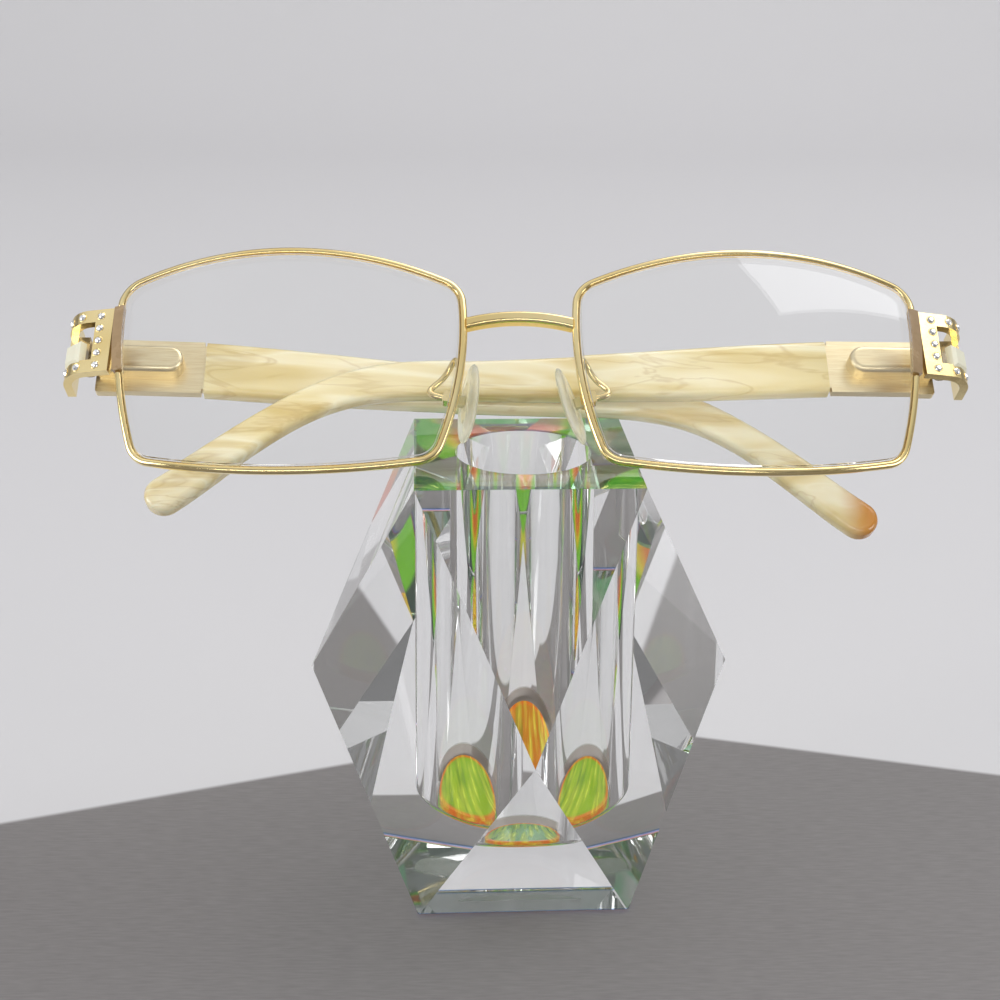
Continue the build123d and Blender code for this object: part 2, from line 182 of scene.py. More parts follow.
def give(mat, *names):
    for name in names:
        data = nodes[name].data
        data.materials.clear()
        data.materials.append(mat)


def both(*names):
    return [f"{name}_{side}" for name in names for side in SIDES]


# ---- materials ------------------------------------------------------------------------------------
def polished_gold():
    t = Tree("polished_gold")
    place = t.coords()
    tone = t.noise(place, 90, 2)
    t.set(
        Base_Color=t.ramp(tone, [(0.3, rgb(242, 216, 150)), (0.7, rgb(252, 234, 180))]),
        Metallic=1.0,
        Roughness=t.span(t.noise(place, 900, 4), 0.3, 0.7, 0.10, 0.20),
    )
    scratches = t.noise(t.coords((1, 1, 9)), 1400, 2)
    t.bump(scratches, 0.05, 0.00004)
    return t.mat


def brushed_gold():
    t = Tree("brushed_gold")
    grain = t.noise(t.coords((3, 60, 60)), 60, 4, 0.6)
    patches = t.noise(t.coords(), 160, 2)
    warm = t.ramp(grain, [(0.3, rgb(232, 212, 166)), (0.7, rgb(252, 240, 206))])
    t.set(
        Base_Color=t.mix(t.span(patches, 0.35, 0.75, 0, 0.4), warm, (*rgb(246, 226, 184), 1)),
        Metallic=1.0,
        Roughness=t.span(grain, 0.25, 0.75, 0.28, 0.46),
    )
    t.bump(grain, 0.25, 0.00003)
    return t.mat


def hinge_metal():
    t = Tree("hinge_metal")
    place = t.coords()
    t.set(
        Base_Color=t.ramp(
            t.noise(place, 400, 3),
            [(0.3, rgb(150, 140, 124)), (0.7, rgb(186, 172, 146))],
        ),
        Metallic=1.0,
        Roughness=t.span(t.noise(place, 1500, 3), 0.3, 0.7, 0.24, 0.38),
    )
    t.bump(t.noise(place, 2500, 2), 0.1, 0.00003)
    return t.mat


def tan_enamel():
    t = Tree("tan_enamel")
    tone = t.noise(t.coords(), 220, 4, 0.6)
    t.set(
        Base_Color=t.ramp(tone, [(0.3, rgb(150, 122, 84)), (0.7, rgb(178, 148, 106))]),
        Roughness=t.span(tone, 0.3, 0.7, 0.2, 0.32),
        Coat_Weight=0.8,
        Coat_Roughness=0.05,
    )
    t.bump(t.noise(t.coords(), 900, 2), 0.08, 0.00003)
    return t.mat


def lens_plastic():
    t = Tree("lens_plastic")
    smears = t.noise(t.coords((1, 1, 3)), 45, 4, 0.65)
    t.set(
        Base_Color=(0.985, 0.99, 0.985, 1),
        Roughness=t.span(smears, 0.45, 0.8, 0.0, 0.02),
        IOR=1.5,
        Specular_IOR_Level=0.16,
        Transmission_Weight=1.0,
    )
    t.lamps_pass((0.97, 0.97, 0.97, 1))
    return t.mat


def crystal_tint_and_painted_light(t, place, height, radius):
    """Colour by position: painted light as rainbow lines at the base edge and green on top, blue at the
    bore's rear lip.
    """
    edge_height = 0.6 * MM
    # Painted light: rainbow lines along the base edge stand in for dispersed light.
    tint = t.ramp(
        t.span(height, 0.0, edge_height, 0, 1),
        [
            (0.0, (0.95, 0.96, 0.96)),
            (0.06, (1.0, 0.30, 0.10)),
            (0.20, (0.9, 0.20, 0.35)),
            (0.40, (0.12, 0.25, 1.0)),
            (0.85, (0.16, 0.40, 1.0)),
            (1.0, (0.985, 0.99, 0.99)),
        ],
    )
    top = t.span(height, BLOCK_HEIGHT - 0.07 * MM, BLOCK_HEIGHT - 0.02 * MM, 0, 1)
    outer = t.span(radius, BORE_RADIUS + 1.2 * MM, BORE_RADIUS + 5.5 * MM, 0, 0.95, True)
    patches = t.span(t.noise(place, 110, 2), 0.4, 0.6, 0.45, 1)
    # Painted light: green on the top face stands in for the colour film seen through the glass.
    tint = t.mix(t.times(top, outer, patches), tint, (*rgb(104, 200, 134), 1))
    near_bore = t.span(radius, BORE_RADIUS + 0.6 * MM, BORE_RADIUS + 1.2 * MM, 1, 0)
    rear = t.span(t.part(place, 1), 3 * MM, 6 * MM, 0, 0.9)
    return t.mix(t.times(top, near_bore, rear), tint, (*rgb(96, 96, 190), 1))


def painted_reflection_ring(t, place, height, radius):
    """1 on the lowest 3 mm of the bore's wall, stronger at the rear: where a grey-brown painted
    reflection goes.
    """
    wall = t.span(radius, BORE_RADIUS + 0.15 * MM, BORE_RADIUS + 0.2 * MM, 1, 0)
    foot = t.span(height, BORE_FOOT + 2.8 * MM, BORE_FOOT + 3.2 * MM, 1, 0)
    rear = t.span(t.part(place, 1), 1 * MM, 3 * MM, 0.15, 1)
    return t.times(wall, foot, rear)


def painted_base_shade_and_glow(t, height, radius):
    """(share, shader) of painted shade on the base: a dark colour whose middle shows film colours,
    glowing as painted light, to steep rays.
    """
    # Painted shade: a dark colour laid on the base of the clear glass.
    painted_base = t.node("BsdfDiffuse")
    painted_base.inputs[0].default_value = (*rgb(62, 80, 70), 1)
    bands = t.ramp(
        t.span(radius, 5 * MM, 17 * MM, 0, 1),
        [
            (0.0, rgb(226, 92, 40)),
            (0.35, rgb(224, 132, 30)),
            (0.52, rgb(222, 204, 10)),
            (0.7, rgb(112, 190, 14)),
        ],
    )
    film = t.node("BsdfPrincipled")
    t.feed(film.inputs["Base Color"], bands)
    # Painted light: the film colours also glow, though nothing here is a lamp.
    t.feed(film.inputs["Emission Color"], bands)
    film.inputs["Emission Strength"].default_value = 0.25
    facing = t.node("LayerWeight")
    facing.inputs["Blend"].default_value = 0.5
    steep = t.span(facing.outputs["Facing"], 0.45, 0.62, 1, 0)
    middle = t.times(t.span(radius, 17.5 * MM, 18.5 * MM, 1, 0), steep)
    share = t.span(height, 0.01 * MM, 0.04 * MM, 0.65, 0)
    return share, t.shade(middle, painted_base.outputs[0], film.outputs[0])


def crystal():
    t = Tree("crystal")
    place = t.coords()
    height = t.part(place, 2)
    across = t.math("POWER", t.part(place, 0), 2.0)
    deep = t.math("POWER", t.part(place, 1), 2.0)
    radius = t.math("SQRT", t.math("ADD", across, deep))
    # Painted reflection: this ring turns the bore's foot grey-brown, and also roughens it.
    ring = painted_reflection_ring(t, place, height, radius)
    t.set(
        Base_Color=t.mix(ring, crystal_tint_and_painted_light(t, place, height, radius), (*rgb(150, 140, 128), 1)),
        Roughness=t.math("MULTIPLY", ring, 0.3),
        IOR=1.52,
        Transmission_Weight=1.0,
    )
    t.lamps_pass((0.74, 0.76, 0.76, 1))
    glass = t.out.inputs["Surface"].links[0].from_socket
    # Painted shade and painted glow on the base.
    share, painted_base = painted_base_shade_and_glow(t, height, radius)
    t.link(t.shade(share, glass, painted_base), t.out.inputs["Surface"])
    return t.mat


def colour_film():
    """Dichroic film: its green, orange and yellow bands change with the viewing angle."""
    t = Tree("colour_film")
    facing = t.node("LayerWeight")
    facing.inputs["Blend"].default_value = 0.45
    colours = t.ramp(
        facing.outputs["Facing"],
        [
            (0.0, rgb(84, 190, 12)),
            (0.16, rgb(120, 190, 8)),
            (0.22, rgb(196, 110, 8)),
            (0.32, rgb(206, 138, 4)),
            (0.40, rgb(160, 186, 0)),
            (0.52, rgb(118, 178, 0)),
            (0.64, rgb(84, 146, 56)),
            (0.9, rgb(120, 168, 130)),
        ],
    )
    # Lighter streaks: painted reflection of the bore's wall; they also vary the roughness.
    streaks_and_painted_reflection = t.noise(t.coords((1, 0.12, 1)), 700, 3)
    dark = t.span(t.noise(t.coords((1, 0.1, 1)), 420, 2), 0.5, 0.62, 0, 0.5)
    colours = t.mix(dark, colours, (*rgb(84, 128, 0), 1))
    # Orange rim: painted dispersion fringe round the disc's edge.
    flat = t.node("VectorMath", operation="LENGTH")
    t.link(t.coords((1, 1, 0)), flat.inputs[0])
    edge = t.span(flat.outputs["Value"], 8.6 * MM, 9.4 * MM, 0, 0.85, True)
    colours = t.mix(edge, colours, (*rgb(232, 112, 14), 1))
    t.set(
        Base_Color=t.mix(t.span(streaks_and_painted_reflection, 0.45, 0.62, 0, 0.6), colours, (*rgb(226, 232, 70), 1)),
        Roughness=t.span(streaks_and_painted_reflection, 0.3, 0.7, 0.12, 0.3),
        # Painted light: the film glows faintly, though it is no lamp.
        Emission_Color=colours,
        Emission_Strength=0.22,
        Metallic=0.3,
        Specular_IOR_Level=0.2,
        Coat_Weight=0.25,
        Coat_Roughness=0.03,
    )
    return t.mat


def gem(name, tint, ior, foil, clear):
    t = Tree(name)
    place = t.coords()
    brighter = tuple(min(1, 1.06 * level) for level in tint)
    t.set(
        Metallic=foil,
        Base_Color=t.ramp(t.noise(place, 700, 2), [(0.3, tint), (0.7, brighter)]),
        Roughness=t.span(t.noise(place, 2000, 2), 0.3, 0.8, 0.0, 0.03),
        IOR=ior,
        Transmission_Weight=clear,
    )
    return t.mat


def ivory_acetate(name, amber_from, amber_to):
    """Marbled acetate. The amber band runs between two distances from the middle, along x."""
    t = Tree(name)
    lie = t.coords((0.22, 1.2, 1.2), (0, math.radians(-3), 0))
    swirl = t.noise(lie, 80, 3, 0.5, 1.4)
    veins = t.noise(lie, 120, 3, 0.55, 1.8)
    clouds = t.noise(t.coords(), 38, 2)
    body = t.ramp(
        swirl,
        [
            (0.30, rgb(214, 190, 122)),
            (0.42, rgb(232, 216, 164)),
            (0.5, rgb(244, 235, 202)),
            (0.58, rgb(230, 212, 156)),
            (0.70, rgb(208, 180, 110)),
        ],
    )
    line = t.span(t.math("ABSOLUTE", t.math("SUBTRACT", veins, 0.5)), 0.0, 0.03, 0.4, 0.0)
    marbled = t.mix(line, body, (*rgb(190, 158, 92), 1))
    marbled = t.mix(t.span(clouds, 0.45, 0.7, 0, 0.35), marbled, (*rgb(246, 240, 216), 1))
    along = t.part(t.coords(), 0)
    amber = t.span(along, amber_from, amber_to, 0, 1, True)
    marbled = t.mix(amber, marbled, (*rgb(206, 140, 52), 1))
    t.set(
        Base_Color=marbled,
        Roughness=t.span(swirl, 0.3, 0.7, 0.16, 0.26),
        Subsurface_Weight=0.25,
        Subsurface_Scale=0.0025,
        Coat_Weight=0.6,
        Coat_Roughness=0.06,
        IOR=1.49,
    )
    t.bsdf.inputs["Subsurface Radius"].default_value = (1.0, 0.8, 0.5)
    t.bump(t.noise(t.coords(), 260, 2), 0.06, 0.0001)
    return t.mat


def pad_silicone():
    t = Tree("pad_silicone")
    place = t.coords()
    cloud = t.noise(place, 260, 3)
    t.set(
        Base_Color=t.ramp(cloud, [(0.3, rgb(240, 238, 218)), (0.7, rgb(252, 252, 244))]),
        Roughness=t.span(cloud, 0.3, 0.7, 0.12, 0.26),
        IOR=1.42,
        Transmission_Weight=0.7,
    )
    t.bump(t.noise(place, 800, 2), 0.15, 0.00005)
    t.lamps_pass((0.8, 0.8, 0.76, 1))
    return t.mat


gold = polished_gold()
brushed = brushed_gold()
steel = hinge_metal()
give(gold, "bridge", *both("rim", "endpiece", "pad_arm", "pad_box"))
give(tan_enamel(), *both("closing_block"))
give(brushed, *both("temple_plate", "spring_housing"))
give(steel, *both("hinge_leaf", "hinge_screw", "hinge_tongue", "pad_pin"))
give(lens_plastic(), *both("lens"))
give(crystal(), "crystal_block")
give(colour_film(), "colour_disc")
give(gem("baguette_stone", rgb(255, 250, 226), 1.6, 0.0, 0.1), *both("baguette"))
right_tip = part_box("temple_arm_right")[0].x
left_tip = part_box("temple_arm_left")[1].x
give(ivory_acetate("acetate_right", right_tip + 1 * MM, right_tip - 2 * MM), "temple_arm_right")
give(ivory_acetate("acetate_left", left_tip - 7 * MM, left_tip - 1 * MM), "temple_arm_left")


# ---- pieces built here ----------------------------------------------------------------------------
def piece(name, bm, mat, body, replaced=(), smooth=True):
    """Object made from a bmesh, riding on a body."""
    mesh = bpy.data.meshes.new(name)
    bmesh.ops.recalc_face_normals(bm, faces=bm.faces)
    for face in bm.faces:
        face.smooth = smooth
    bm.to_mesh(mesh)
    bm.free()
    mesh.materials.append(mat)
    obj = bpy.data.objects.new(name, mesh)
    bpy.context.scene.collection.objects.link(obj)
    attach(obj, body)
    if replaced:
        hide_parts(*replaced)
    return obj


def frame_of(origin, along, up):
    """Matrix with x along, z up, y across, at an origin."""
    z = up.normalized()
    x = (along - along.dot(z) * z).normalized()
    m = Matrix((x, z.cross(x), z)).transposed().to_4x4()
    m.translation = origin
    return m


def add_ring_stack(bm, rings, place):
    """Skin over rings of points, each ring with the same count, closed by a face at both ends."""
    made = [[bm.verts.new(place @ Vector(p)) for p in ring] for ring in rings]
    count = len(made[0])
    for low, high in zip(made, made[1:]):
        for i in range(count):
            j = (i + 1) % count
            bm.faces.new((low[i], low[j], high[j], high[i]))
    bm.faces.new(made[0][::-1])
    bm.faces.new(made[-1])


STONE_RADIUS = 0.66 * MM
STONE_PROUD = 0.35 * MM
STONE_SEAT = 0.45 * MM


def islands(bm):
    """Sets of joined vertices, one for each separate solid."""
    left = set(bm.verts)
    while left:
        seed = min(left, key=lambda vert: tuple(vert.co))
        island, todo = {seed}, [seed]
        while todo:
            for edge in todo.pop().link_edges:
                for other in edge.verts:
                    if other not in island:
                        island.add(other)
                        todo.append(other)
        left -= island
        yield island


def largest_flat(island):
    """(normal, centre) of the largest flat side of a solid."""
    flats = {}
    areas = {face: face.calc_area() for vert in island for face in vert.link_faces}
    for face, area in areas.items():
        normal = face.normal
        key = next((k for k in flats if k.dot(normal) > 0.9999), None)
        if key is None:
            key = normal.copy().freeze()
            flats[key] = [0.0, Vector()]
        flats[key][0] += area
        flats[key][1] += face.calc_center_median() * area
    normal, (area, moment) = max(flats.items(), key=lambda item: item[1][0])
    return normal, moment / area


def stone_places(node):
    """A matrix for each stone of a CAD node: origin at the girdle, z out of the metal."""
    bm = bmesh.new()
    bm.from_mesh(nodes[node].data)
    bmesh.ops.remove_doubles(bm, verts=bm.verts, dist=0.001 * MM)
    places = []
    for island in islands(bm):
        normal, seat = largest_flat(island)
        places.append(frame_of(seat - normal * STONE_SEAT, Vector((1, 0.3, 0.2)), -normal))
    bm.free()
    return places


def circle(radius, height, count, turn=0.0):
    steps = [2 * math.pi * (k + turn) / count for k in range(count)]
    return [(radius * math.cos(a), radius * math.sin(a), height) for a in steps]


def add_brilliant(bm, place):
    """Round brilliant: table, star, kite and girdle facets above, cone facets below."""
    r, h = 0.97 * STONE_RADIUS, 0.97 * STONE_PROUD
    rings = [circle(0.5 * r, h, 8), circle(0.8 * r, 0.55 * h, 8, 0.5), circle(r, 0, 16, 0)]
    table, waist, girdle = ([bm.verts.new(place @ Vector(p)) for p in ring] for ring in rings)
    tip = bm.verts.new(place @ Vector((0, 0, -0.9 * STONE_SEAT)))
    bm.faces.new(table)
    for k in range(8):
        after, wide = (k + 1) % 8, 2 * k
        bm.faces.new((table[k], waist[k], table[after]))
        bm.faces.new((table[k], waist[k - 1], girdle[wide], waist[k]))
        bm.faces.new((waist[k], girdle[wide], girdle[wide + 1]))
        bm.faces.new((waist[k], girdle[wide + 1], girdle[(wide + 2) % 16]))
    for k in range(16):
        bm.faces.new((girdle[k], tip, girdle[(k + 1) % 16]))


def add_bezel(bm, place, around=24, section=8):
    """Thin raised lip of metal round a stone."""
    major, minor = 1.05 * STONE_RADIUS, 0.075 * MM
    ring = []
    for k in range(around):
        a = 2 * math.pi * k / around
        loop = []
        for x, z, _ in circle(minor, 0, section):
            r = major + x
            loop.append(bm.verts.new(place @ Vector((r * math.cos(a), r * math.sin(a), z))))
        ring.append(loop)
    for k in range(around):
        one, two = ring[k], ring[(k + 1) % around]
        for j in range(section):
            after = (j + 1) % section
            bm.faces.new((one[j], two[j], two[after], one[after]))


rhinestone = gem("rhinestone", rgb(244, 245, 246), 1.75, 0.9, 0.0)
for side in SIDES:
    gems, lips = bmesh.new(), bmesh.new()
    for place in stone_places(f"stones_{side}"):
        add_brilliant(gems, place)
        add_bezel(lips, place)
    piece(f"brilliants_{side}", gems, rhinestone, "front", [f"stones_{side}"], smooth=False)
    piece(f"bezels_{side}", lips, gold, "front")

# The pads' own frame, worked out as in the CAD: wearing frame, then leaned back and set on the stand.
LEAN, PANTOSCOPIC = math.radians(48), math.radians(8)
REST_POINT = Vector((-0.7, -10.6, 78.3))
PAD_PIVOT = (10.6, 12.0, 5.2)
PAD_LEAN, PAD_SPLAY, PAD_ROCK = math.radians(11.5), math.radians(22), math.radians(5)
PAD_HALF_LENGTH, PAD_HALF_WIDTH, PAD_THICKNESS, PAD_STANDOFF = 7.0, 3.5, 1.9, 1.7
PAD_RINGS = (0.25, 0.5, 0.7, 0.84, 0.93, 0.985)
LUG_RADIUS, LUG_REACH, LUG_HALF_HEIGHT = 0.8, 1.9, 0.5
CORE_HALF_LENGTH, CORE_HALF_WIDTH, CORE_LOW, CORE_HIGH = 3.6, 1.1, 0.26, 0.62
EASED = 0.08
lean_back = Matrix.Rotation(-LEAN, 3, "X")
lens_out = Vector((0, -math.cos(PANTOSCOPIC), -math.sin(PANTOSCOPIC)))
lens_up = Vector((0, -math.sin(PANTOSCOPIC), math.cos(PANTOSCOPIC)))


def pad_frames(sign):
    """(pad, lug) frames: pad has x down its length and z out of its face; lug has z along the pin."""
    pivot = Vector((sign * PAD_PIVOT[0], 0, 0)) + PAD_PIVOT[1] * lens_up - PAD_PIVOT[2] * lens_out
    down = Vector((sign * math.sin(PAD_LEAN), 0, 0)) - lens_up * math.cos(PAD_LEAN)
    side = sign * down.cross(lens_out)
    face = side * math.cos(PAD_SPLAY) - lens_out * math.sin(PAD_SPLAY)
    rock = Matrix.Rotation(PAD_ROCK, 3, lens_out)

    def placed(origin, along, up):
        local = rock @ (origin - pivot) + pivot
        return frame_of(
            (lean_back @ local + REST_POINT) * MM, lean_back @ (rock @ along), lean_back @ (rock @ up)
        )

    return placed(pivot + side * PAD_STANDOFF, down, face), placed(pivot, side, lens_out)


def pad_skin():
    """Rings of an oval pad, domed in front, flatter behind and fuller towards its lower end."""
    middle = 0.45 * PAD_THICKNESS
    levels = [(r, middle - 0.96 * middle * (1 - r**6) ** 0.5) for r in PAD_RINGS]
    levels.append((1.0, middle))
    for r in reversed(PAD_RINGS):
        levels.append((r, middle + 0.98 * (PAD_THICKNESS - middle) * (1 - r**2.6) ** 0.5))
    skin = []
    for r, z in levels:
        loop = []
        for long, wide, _ in circle(1, 0, 40):
            full = 1 - 0.07 * (1 - long)
            x = 0.99 * r * PAD_HALF_LENGTH * long
            y = 0.99 * r * PAD_HALF_WIDTH * full * wide
            loop.append((x * MM, y * MM, z * MM))
        skin.append(loop)
    return skin


def slab(outline, low, high, inset):
    """Rings of a flat plate with its edges eased, from an outline in millimetres."""
    levels = ((inset, low - EASED), (1.0, low), (1.0, high), (inset, high + EASED))
    return [[(x * f * MM, y * f * MM, z * MM) for x, y in outline] for f, z in levels]


def build_pad(side, sign):
    """Soft pad with a stiff core in it and a lug at its back."""
    pad, lug = pad_frames(sign)
    bm = bmesh.new()
    add_ring_stack(bm, pad_skin(), pad)
    obj = piece(f"pad_{side}", bm, silicone, f"pad_{side}", [f"nose_pad_{side}"])
    smooth = obj.modifiers.new("smooth", "SUBSURF")
    smooth.levels = smooth.render_levels = 1
    bm = bmesh.new()
    turns = [math.radians(90 + 15 * k) for k in range(13)]
    outline = [(LUG_RADIUS * math.cos(a), LUG_RADIUS * math.sin(a)) for a in turns]
    outline += [(LUG_REACH, -LUG_RADIUS), (LUG_REACH, LUG_RADIUS)]
    add_ring_stack(bm, slab(outline, -LUG_HALF_HEIGHT, LUG_HALF_HEIGHT, 0.92), lug)
    oval = [(CORE_HALF_LENGTH * x, CORE_HALF_WIDTH * y) for x, y, _ in circle(1, 0, 28)]
    add_ring_stack(bm, slab(oval, CORE_LOW, CORE_HIGH, 0.9), pad)
    piece(f"pad_core_{side}", bm, stiff, f"pad_{side}", smooth=False)


def core_plastic():
    t = Tree("pad_core")
    cloud = t.noise(t.coords(), 500, 2)
    t.set(
        Base_Color=t.ramp(cloud, [(0.3, rgb(226, 214, 160)), (0.7, rgb(240, 232, 190))]),
        Roughness=t.span(cloud, 0.3, 0.7, 0.25, 0.4),
        IOR=1.5,
        Transmission_Weight=0.4,
    )
    return t.mat


silicone = pad_silicone()
stiff = core_plastic()
for side in SIDES:
    build_pad(side, SIGNS[side])


# The lens outline on the rim plane, as in the CAD: four arcs and round corners.
NASAL_HALF_GAP, WRAP = 8.8, math.radians(5)
RIM_WIDTH, CORNER_ROUND = 1.35, 5.0
WIRE_HALF_WIDTH, WIRE_HALF_DEPTH, WIRE_POWER, WIRE_SIDES = 0.64, 0.97, 0.8, 20
TEMPLE_SIDE = 40.0
BASE_RADIUS, CROWN, LENS_CENTRE = 88.0, 3.9, Vector((28.5, 17.0))
BLOCK_BOTTOM, BLOCK_TOP = 16.8, 28.6
ARCS = (
    ((0.3, 30.5), (28.5, 36.8), (57.0, 32.6)),
    ((57.0, 32.6), (56.1, 15.0), (52.8, 1.1)),
    ((52.8, 1.1), (28.2, -2.4), (4.3, 0.0)),
    ((4.3, 0.0), (0.3, 14.0), (0.3, 30.5)),
)


def circle_through(a, b, c):
    """(centre, radius) of the circle through three points."""
    a, b, c = Vector(a), Vector(b), Vector(c)
    d = 2 * (a.x * (b.y - c.y) + b.x * (c.y - a.y) + c.x * (a.y - b.y))
    aa, bb, cc = a.length_squared, b.length_squared, c.length_squared
    x = (aa * (b.y - c.y) + bb * (c.y - a.y) + cc * (a.y - b.y)) / d
    y = (aa * (c.x - b.x) + bb * (a.x - c.x) + cc * (b.x - a.x)) / d
    centre = Vector((x, y))
    return centre, (a - centre).length


def meet(one, two, near):
    """The point near a corner where two circles cross."""
    (p, r), (q, s) = one, two
    gap = q - p
    along = (r * r - s * s + gap.length_squared) / (2 * gap.length)
    high = math.sqrt(max(r * r - along * along, 0))
    axis = gap.normalized()
    foot = p + along * axis
    side = Vector((-axis.y, axis.x))
    return min((foot + high * side, foot - high * side), key=lambda v: (v - near).length)


def arc_points(centre, start, end, step=0.7):
    """Points of the shorter arc from start to end, without the end."""
    a = math.atan2(*(start - centre).yx)
    b = math.atan2(*(end - centre).yx)
    sweep = (b - a + math.pi) % (2 * math.pi) - math.pi
    radius = (start - centre).length
    count = max(4, round(abs(sweep) * radius / step))
    turns = [a + sweep * k / count for k in range(count)]
    return [centre + radius * Vector((math.cos(v), math.sin(v))) for v in turns]


def lens_outline():
    """Points of the closed outline with its corners rounded."""
    circles = [circle_through(*arc) for arc in ARCS]
    corners = []
    for k, (centre, radius) in enumerate(circles):
        after = circles[(k + 1) % 4]
        spot = Vector(ARCS[k][2])
        inner = [(c, r - CORNER_ROUND) for c, r in ((centre, radius), after)]
        hub = meet(*inner, spot)
        ends = [hub + CORNER_ROUND * (hub - c).normalized() for c in (centre, after[0])]
        corners.append((hub, *ends))
    points = []
    for k, (centre, radius) in enumerate(circles):
        begin = corners[k - 1][2]
        hub, end, leave = corners[k]
        points += arc_points(centre, begin, end)
        points += arc_points(hub, end, leave, 0.35)
    return points


def rim_spot(point, lift):
    """Point of the rim plane raised onto the lens curve, then along the curve's normal."""
    flat = point - LENS_CENTRE
    rise = math.sqrt(BASE_RADIUS**2 - flat.length_squared)
    normal = Vector((flat.x, flat.y, rise)) / BASE_RADIUS
    return Vector((point.x, point.y, CROWN - BASE_RADIUS + rise)) + lift * normal


rim_x = Vector((math.cos(WRAP), 0, 0)) - math.sin(WRAP) * lens_out
rim_axes = Matrix((rim_x, lens_up, rim_x.cross(lens_up))).transposed()


def to_row(local, sign):
    """Rim-plane coordinates to the row frame, in metres."""
    worn = rim_axes @ local + Vector((NASAL_HALF_GAP, 0, 0))
    worn.x *= sign
    return (lean_back @ worn + REST_POINT) * MM


def squared(part):
    """A cosine or sine drawn out towards the corners of a square."""
    return math.copysign(abs(part) ** WIRE_POWER, part)


def wire_section():
    return [
        (WIRE_HALF_WIDTH * squared(x), WIRE_HALF_DEPTH * squared(y))
        for x, y, _ in circle(1, 0, WIRE_SIDES)
    ]


def slid(one, two, height):
    """The point at a height on the line through two neighbours of a path."""
    share = (height - one[0].y) / (two[0].y - one[0].y)
    return one[0].lerp(two[0], share), one[1]


def build_rim(side, sign):
    """Rounded wire rim, open where the enamelled block closes it."""
    outline = lens_outline()
    count = len(outline)
    tangents = [(outline[(k + 1) % count] - outline[k - 1]).normalized() for k in range(count)]
    outward = [Vector((t.y, -t.x)) for t in tangents]
    if outward[0].dot(outline[0] - LENS_CENTRE) < 0:
        outward = [-v for v in outward]
    path = [(p - 0.5 * RIM_WIDTH * o, o) for p, o in zip(outline, outward)]
    gap = [p.x > TEMPLE_SIDE and BLOCK_BOTTOM < p.y < BLOCK_TOP for p, _ in path]
    first = next(k for k in range(count) if gap[k - 1] and not gap[k])
    run = [path[(first + k) % count] for k in range(count) if not gap[(first + k) % count]]
    heights = [BLOCK_BOTTOM, BLOCK_TOP]
    if run[0][0].y > run[-1][0].y:
        heights.reverse()
    run.insert(0, slid(run[0], run[1], heights[0]))
    run.append(slid(run[-2], run[-1], heights[1]))
    bm = bmesh.new()
    rings = []
    for point, out in run:
        ring = []
        for across, deep in wire_section():
            ring.append(to_row(rim_spot(point + across * out, deep), sign))
        rings.append(ring)
    add_ring_stack(bm, rings, Matrix.Identity(4))
    piece(f"rim_wire_{side}", bm, gold, "front", [f"rim_{side}"])


for side in SIDES:
    build_rim(side, SIGNS[side])


# ---- stage ----------------------------------------------------------------------------------------
FOLD = (15.7 * MM, 47.8 * MM)
FOLD_SLOPES = (-0.342, 0.264)
FLOOR_LEVEL = -0.05 * MM


def floor_material():
    """Grey table in front, pale board behind, which comes forward on both sides of its fold."""
    t = Tree("floor")
    place = t.coords()
    across = t.math("SUBTRACT", t.part(place, 0), FOLD[0])
    left, right = (t.math("MULTIPLY", across, slope) for slope in FOLD_SLOPES)
    behind = t.math("ADD", t.part(place, 1), t.math("MAXIMUM", left, right))
    board = t.span(behind, FOLD[1] - 0.8 * MM, FOLD[1] + 0.8 * MM, 0, 1, True)
    grain = t.noise(t.coords((1, 9, 1)), 260, 4)
    near = t.ramp(grain, [(0.3, rgb(124, 120, 120)), (0.7, rgb(134, 131, 130))])
    t.set(Base_Color=t.mix(board, near, (*rgb(216, 215, 217), 1)), Roughness=0.6)
    return t.mat


def build_floor():
    """Level floor that curves up into a wall far behind."""
    mesh = bpy.data.meshes.new("floor")
    bm = bmesh.new()
    bend, bend_start, wall_top, half_width = 0.5, 0.9, 2.6, 3
    profile = [(-2.5, FLOOR_LEVEL), (bend_start, FLOOR_LEVEL)]
    for step in range(1, 13):
        a = math.radians(7.5 * step)
        profile.append((bend_start + bend * math.sin(a), bend * (1 - math.cos(a))))
    profile.append((bend_start + bend, wall_top))
    rows = [[bm.verts.new((x, y, z)) for x in (-half_width, half_width)] for y, z in profile]
    for low, high in zip(rows, rows[1:]):
        bm.faces.new((low[0], low[1], high[1], high[0])).smooth = True
    bm.to_mesh(mesh)
    bm.free()
    floor = bpy.data.objects.new("floor", mesh)
    bpy.context.scene.collection.objects.link(floor)
    mesh.materials.append(floor_material())


build_floor()


LAMP_AIM = Vector((0, 0, 0.06))


def lamp(name, place, size, watts):
    """Soft rectangular lamp aimed at the upper half of the block."""
    data = bpy.data.lights.new(name, "AREA")
    data.shape = "RECTANGLE"
    data.size, data.size_y = size
    data.energy = watts
    obj = bpy.data.objects.new(name, data)
    bpy.context.scene.collection.objects.link(obj)
    obj.location = place
    obj.rotation_mode = "QUATERNION"
    obj.rotation_quaternion = (LAMP_AIM - Vector(place)).to_track_quat("-Z", "Y")
    return obj


key = lamp("key", (-1.6, -0.6, 0.45), (1.0, 0.7), 13)
key.visible_transmission = False  # no white patch of it inside the crystal
lamp("fill", (1.5, -0.8, 0.35), (0.8, 0.7), 6)
lamp("front", (-0.2, -1.6, 0.42), (1.8, 0.25), 6)
lamp("top", (0.6, 0.5, 1.4), (1.4, 0.9), 8)

world = bpy.data.worlds.new("studio")
bpy.context.scene.world = world
world.use_nodes = True
sky = world.node_tree
background = sky.nodes["Background"]


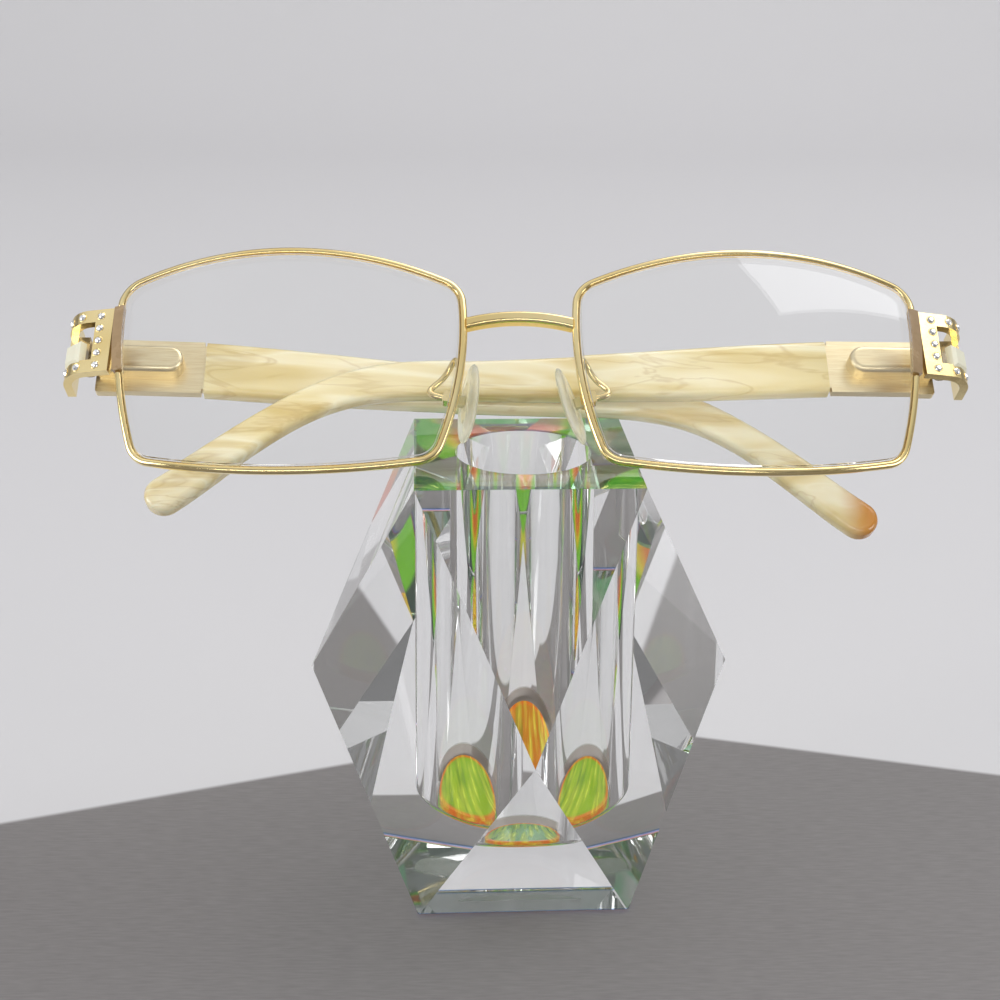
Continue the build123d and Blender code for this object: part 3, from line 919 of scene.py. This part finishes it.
def sky_ramp(axis, stops):
    """Grey brightness along one axis of the sky."""
    direction = sky.nodes.new("ShaderNodeTexCoord")
    split = sky.nodes.new("ShaderNodeSeparateXYZ")
    span = sky.nodes.new("ShaderNodeMapRange")
    span.inputs["From Min"].default_value = -1
    ramp = sky.nodes.new("ShaderNodeValToRGB")
    for element, (position, grey) in zip(ramp.color_ramp.elements, stops):
        element.position = position
        element.color = (grey, grey, grey * 1.01, 1)
    sky.links.new(direction.outputs["Generated"], split.inputs[0])
    sky.links.new(split.outputs[axis], span.inputs["Value"])
    sky.links.new(span.outputs[0], ramp.inputs[0])
    return ramp.outputs[0]


blend = sky.nodes.new("ShaderNodeMix")
blend.data_type = "RGBA"
blend.blend_type = "ADD"
blend.inputs[0].default_value = 1.0
sky.links.new(sky_ramp("Y", [(0.3, 0.22), (0.7, 0.6)]), blend.inputs[6])
sky.links.new(sky_ramp("Z", [(0.68, 0.0), (0.92, 0.55)]), blend.inputs[7])
sky.links.new(blend.outputs[2], background.inputs[0])
background.inputs[1].default_value = 0.85

scene = bpy.context.scene
scene.view_settings.view_transform = "Standard"
scene.cycles.max_bounces = 32
scene.cycles.glossy_bounces = 32
scene.cycles.transmission_bounces = 32
scene.cycles.transparent_max_bounces = 16

# ---- camera ---------------------------------------------------------------------------------------
yaw, pitch, roll = (math.radians(v) for v in (1.234, 20.6, 0.575))
camera = bpy.data.objects.new("camera", bpy.data.cameras.new("camera"))
scene.collection.objects.link(camera)
camera.location = (-0.0087, -0.23296, 0.15522)
forward = Vector((math.sin(yaw) * math.cos(pitch), math.cos(yaw) * math.cos(pitch), -math.sin(pitch)))
level = Vector((math.cos(yaw), -math.sin(yaw), 0))
upward = level.cross(forward)
right = math.cos(roll) * level + math.sin(roll) * upward
upward = -math.sin(roll) * level + math.cos(roll) * upward
camera.rotation_mode = "QUATERNION"
camera.rotation_quaternion = Matrix((right, upward, -forward)).transposed().to_quaternion()
camera.data.sensor_width = 36
camera.data.lens = 54.74
camera.data.clip_start = 0.01
scene.camera = camera
